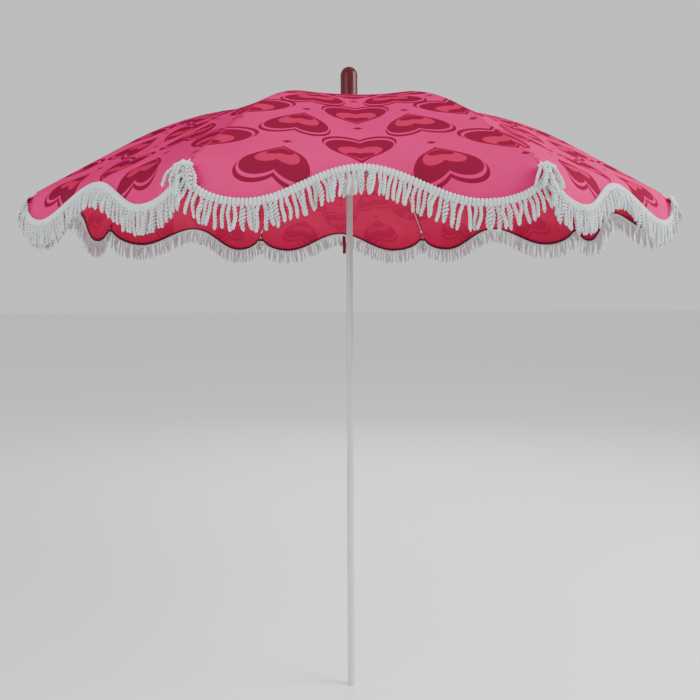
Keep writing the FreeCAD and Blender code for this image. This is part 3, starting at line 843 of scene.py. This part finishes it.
def hem(k, tape):
    """The dark tape sewn along the inside of the scalloped edge."""
    build = Builder()
    rows = []
    left = (rib_angle(k) - HALF, 0.5, 1 - HEM_STOP)
    right = (rib_angle(k) + HALF, HEM_STOP, 0.5)
    for middle_angle, low, high in (left, right):
        for i in range(HEM_STEPS + 1):
            t = low + (high - low) * i / HEM_STEPS
            outward = Vector((math.cos(middle_angle), math.sin(middle_angle), 0))
            low_point = skirt_point(middle_angle, t, 1.0)
            above = skirt_point(middle_angle, t, HEM_FALL_FROM)
            up = (above - low_point).normalized()
            inner = low_point - outward * (CLOTH + HEM_GAP)
            lower = inner - up * HEM_THICK
            upper = inner + up * HEM_WIDTH
            rows.append([lower, upper, upper - outward * HEM_THICK, lower - outward * HEM_THICK])
    build.capped(rows)
    return mesh_object("hem_tape_%d" % (k + 1), build.points, build.faces, [tape], smooth=False)


PLEAT_START = 0.040                 # radii that the pleats under the strips reach from and to
PLEAT_END = 0.66
PLEAT_THICK = 0.0009
PLEAT_OVER = 0.012                  # how far a pleat reaches past the gap that it closes
PLEAT_INSET = 0.002                 # and stays inside the middle of the panel, open
PLEAT_ROWS = 26
PLEAT_COLUMNS = 12
ARC_STEPS = 30
SLOPE_EXTRA = 0.02                  # at most about this much is a rib longer than its plan radius


def closed_radius(along):
    """How far a rib's centre line stands from the axis, folded, at a length along it."""
    fold = math.radians(FOLD_ANGLE)
    radius = PIVOT_R
    for i in range(ARC_STEPS):
        slope = -SLOPE_IN + along * (i + 0.5) / ARC_STEPS / BEND
        radius += along / ARC_STEPS * math.cos(min(slope, SLOPE_OUT) + fold)
    return radius


def pleat_under(k, top, under):
    """A pleat under a strip near the hub, which closes the gap beside it when folded."""
    build = Builder()
    rows = []
    places = []
    for i in range(PLEAT_ROWS):
        radius = PLEAT_START + (PLEAT_END - PLEAT_START) * i / (PLEAT_ROWS - 1)
        half = (closed_radius(radius - PIVOT_R) + PLEAT_OVER) * math.tan(HALF)
        half = min(half, radius * math.sin(HALF) - PLEAT_INSET)
        row = []
        for j in range(PLEAT_COLUMNS + 1):
            offset = half * (1 - 2 * j / PLEAT_COLUMNS)
            t = abs(offset) / (2 * radius * math.sin(HALF))
            if offset < 0:
                point = panel_point(rib_angle(k) - HALF, 1 - t, radius)
            else:
                point = panel_point(rib_angle(k) + HALF, t, radius)
            row.append(point - Vector((0, 0, 1)) * (CLOTH + PLEAT_THICK))
            side = radius * math.sin(HALF) - abs(offset)
            places.append((side, radius * math.cos(HALF) + SLOPE_EXTRA, abs(offset)))
        rows.append(row)
    build.grid(rows)
    pleat = mesh_object("canopy_pleat_%d" % (k + 1), build.points, build.faces, [top, under])
    store_places(pleat, places)
    return thicken(pleat, PLEAT_THICK, 0)


def gather(piece, k):
    """Make a soft piece ride on its rib, with a mesh of its own."""
    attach(piece, "rib_%d" % (k + 1))
    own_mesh(piece)
    return piece


# ---------------------------------------------------------------- firm pieces

STRAP_STEPS = 24
STRAP_CURL = 0.004                  # how far the strap bends aside
STRAP_WAVE = 2.6
STRAP_PHASE = 0.3
STRAP_SOFT = 0.0004                 # width of its softened edges


def closure_strap(tape):
    """A woven strap, hanging from the back panel's rim."""
    low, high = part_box("closure_strap")
    middle = (low.x + high.x) / 2
    wide = (high.x - low.x) / 2
    thick = (high.y - low.y) / 2
    back = (low.y + high.y) / 2
    rows = []
    for i in range(STRAP_STEPS + 1):
        s = i / STRAP_STEPS
        z = high.z + (low.z - high.z) * s
        curl = STRAP_CURL * math.sin(STRAP_WAVE * s + STRAP_PHASE) * s
        rows.append([
            Vector((middle - wide + curl, back - thick, z)),
            Vector((middle + wide + curl, back - thick, z)),
            Vector((middle + wide + curl, back + thick, z)),
            Vector((middle - wide + curl, back + thick, z)),
        ])
    build = Builder()
    build.capped(rows)
    strap = mesh_object("closure_strap_tape", build.points, build.faces, [tape], smooth=False)
    soften = strap.modifiers.new("edges", "BEVEL")
    soften.width = STRAP_SOFT
    soften.segments = 2
    return apply_modifiers(strap)


NECK_R = 0.0188                     # the finial's radius above its foot bead
FOOT_BEAD = ((0.0195, 0.0), (0.0205, 0.0015), (0.0205, 0.004), (NECK_R, 0.006))
FLARE_FROM = 0.007                  # height where it starts to widen
FLARE = 0.018                       # and over which it reaches its full width
FLARE_ROUND = 0.9                   # power of the curve that widens it
FLARE_STEPS = 8
TOP_STEPS = 15
TOP_FLAT = 0.0006
FINIAL_SIDES = 64


def finial(varnish):
    """Turned knob: a small foot bead, straight side, round top."""
    low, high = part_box("finial")
    radius = (high.x - low.x) / 2
    base = low.z
    outline = [(bead_r, base + height) for bead_r, height in FOOT_BEAD]
    for i in range(FLARE_STEPS + 1):
        s = i / FLARE_STEPS
        wider = (radius - NECK_R) * math.sin(s * math.pi / 2) ** FLARE_ROUND
        outline.append((NECK_R + wider, base + FLARE_FROM + FLARE * s))
    shoulder = high.z - radius
    outline.append((radius, shoulder))
    for i in range(1, TOP_STEPS):
        angle = math.pi / 2 * i / TOP_STEPS
        outline.append((radius * math.cos(angle), shoulder + radius * math.sin(angle)))
    outline.append((TOP_FLAT, high.z))
    return turned("finial_knob", outline, FINIAL_SIDES, [varnish])


# ---------------------------------------------------------------- stage

FLOOR_HALF = 40
WORLD_STRENGTH = 0.8
LIGHTS = (                          # name, place, where it points, size, watts
    ("key_light", (4.0, -1.2, 3.7), (0, 0, 1.7), 2.4, 330),
    ("fill_light", (-2.8, -3.4, 2.6), (0, 0, 1.6), 2.6, 110),
    ("back_light", (0.6, 3.8, 3.4), (0, 0, 1.7), 2.4, 90),
)


def stage():
    world = bpy.data.worlds.new("studio")
    bpy.context.scene.world = world
    world.use_nodes = True
    sky = world.node_tree.nodes["Background"]
    sky.inputs["Color"].default_value = (1.0, 1.0, 1.0, 1)
    sky.inputs["Strength"].default_value = WORLD_STRENGTH
    floor_material, nodes, shader = material("stage_floor", (0.86, 0.86, 0.855), 0.7)
    speck = nodes.noise(40.0, 2.0)
    paint = nodes.mix(speck, (0.85, 0.85, 0.845, 1), (0.88, 0.88, 0.875, 1))
    nodes.feed(shader.inputs["Base Color"], paint)
    corners = [(x * FLOOR_HALF, y * FLOOR_HALF, 0) for x, y in ((-1, -1), (1, -1), (1, 1), (-1, 1))]
    floor = mesh_object("stage_floor", corners, [(0, 1, 2, 3)], [floor_material])
    for name, place, aim, size, power in LIGHTS:
        lamp = bpy.data.lights.new(name, "AREA")
        lamp.size = size
        lamp.energy = power
        made = bpy.data.objects.new(name, lamp)
        bpy.context.scene.collection.objects.link(made)
        made.location = place
        made.rotation_euler = (Vector(aim) - Vector(place)).to_track_quat("-Z", "Y").to_euler()


CAMERA_AWAY = 2.436                 # from the pole
CAMERA_HEIGHT = 1.442
CAMERA_TURN = math.radians(2.3)     # to the left of straight in front
CAMERA_TILT = math.radians(-5.05)   # below level
CAMERA_ROLL = math.radians(-0.2)
LENS = 35.9                         # millimetres, on a sensor 36 mm wide


def camera():
    """The photographer's place: 2.44 m in front of the pole, looking down 5 degrees."""
    data = bpy.data.cameras.new("camera")
    data.sensor_width = 36.0
    data.lens = LENS
    data.clip_end = 200.0
    made = bpy.data.objects.new("camera", data)
    bpy.context.scene.collection.objects.link(made)
    forward = Vector((math.sin(CAMERA_TURN), math.cos(CAMERA_TURN), 0))
    made.location = (-forward.x * CAMERA_AWAY, -forward.y * CAMERA_AWAY, CAMERA_HEIGHT)
    heading = Vector((forward.x, forward.y, math.tan(CAMERA_TILT)))
    made.rotation_euler = heading.to_track_quat("-Z", "Y").to_euler()
    made.rotation_euler.rotate_axis("Z", CAMERA_ROLL)
    bpy.context.scene.camera = made


# ---------------------------------------------------------------- making it all

camera()
stage()
top, under = canopy_materials()
# the fringe's second colour is painted shade between the fibres, also used for its random darker patches
cotton = cord_material("fringe_cotton", (0.74, 0.79, 0.80), (0.46, 0.50, 0.52), 0.0016)
hem_tape = tape_material("hem_tape", (0.100, 0.010, 0.040))
strap_tape = tape_material("strap_tape", (0.22, 0.018, 0.045))
varnish = wood_material()
FINISHES = {
    "pole_tube": metal_material("pole_paint", (0.55, 0.60, 0.585), 0.42, 0.35, 900.0, coat=0.2),
    "frame_steel": metal_material("frame_steel", (0.50, 0.50, 0.51), 0.38, 0.9, 1200.0),
    "white_plastic": plastic_material("white_plastic", (0.72, 0.72, 0.70), 0.45),
    "dark_plastic": plastic_material("dark_plastic", (0.045, 0.045, 0.05), 0.4),
}
slots = {part["node"]: part["material_slot"] for part in frame["record"]["subparts"]}
for name, thing in frame["nodes"].items():
    if slots[name] in FINISHES:
        thing.data.materials.clear()
        thing.data.materials.append(FINISHES[slots[name]])

for k in range(RIBS):
    cloth = gather(canopy_strip(k, top, under), k)
    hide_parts("canopy_strip_%d" % (k + 1))
    cords = gather(fringe(k, cotton), k)
    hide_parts("fringe_%d" % (k + 1))
    tape = gather(hem(k, hem_tape), k)
    pleat = pleat_under(k, top, under)
    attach(pleat, "rib_%d" % (k + 1))

strap = closure_strap(strap_tape)
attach(strap, "rib_2")
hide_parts("closure_strap")

knob = finial(varnish)
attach(knob, "mast")
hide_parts("finial")
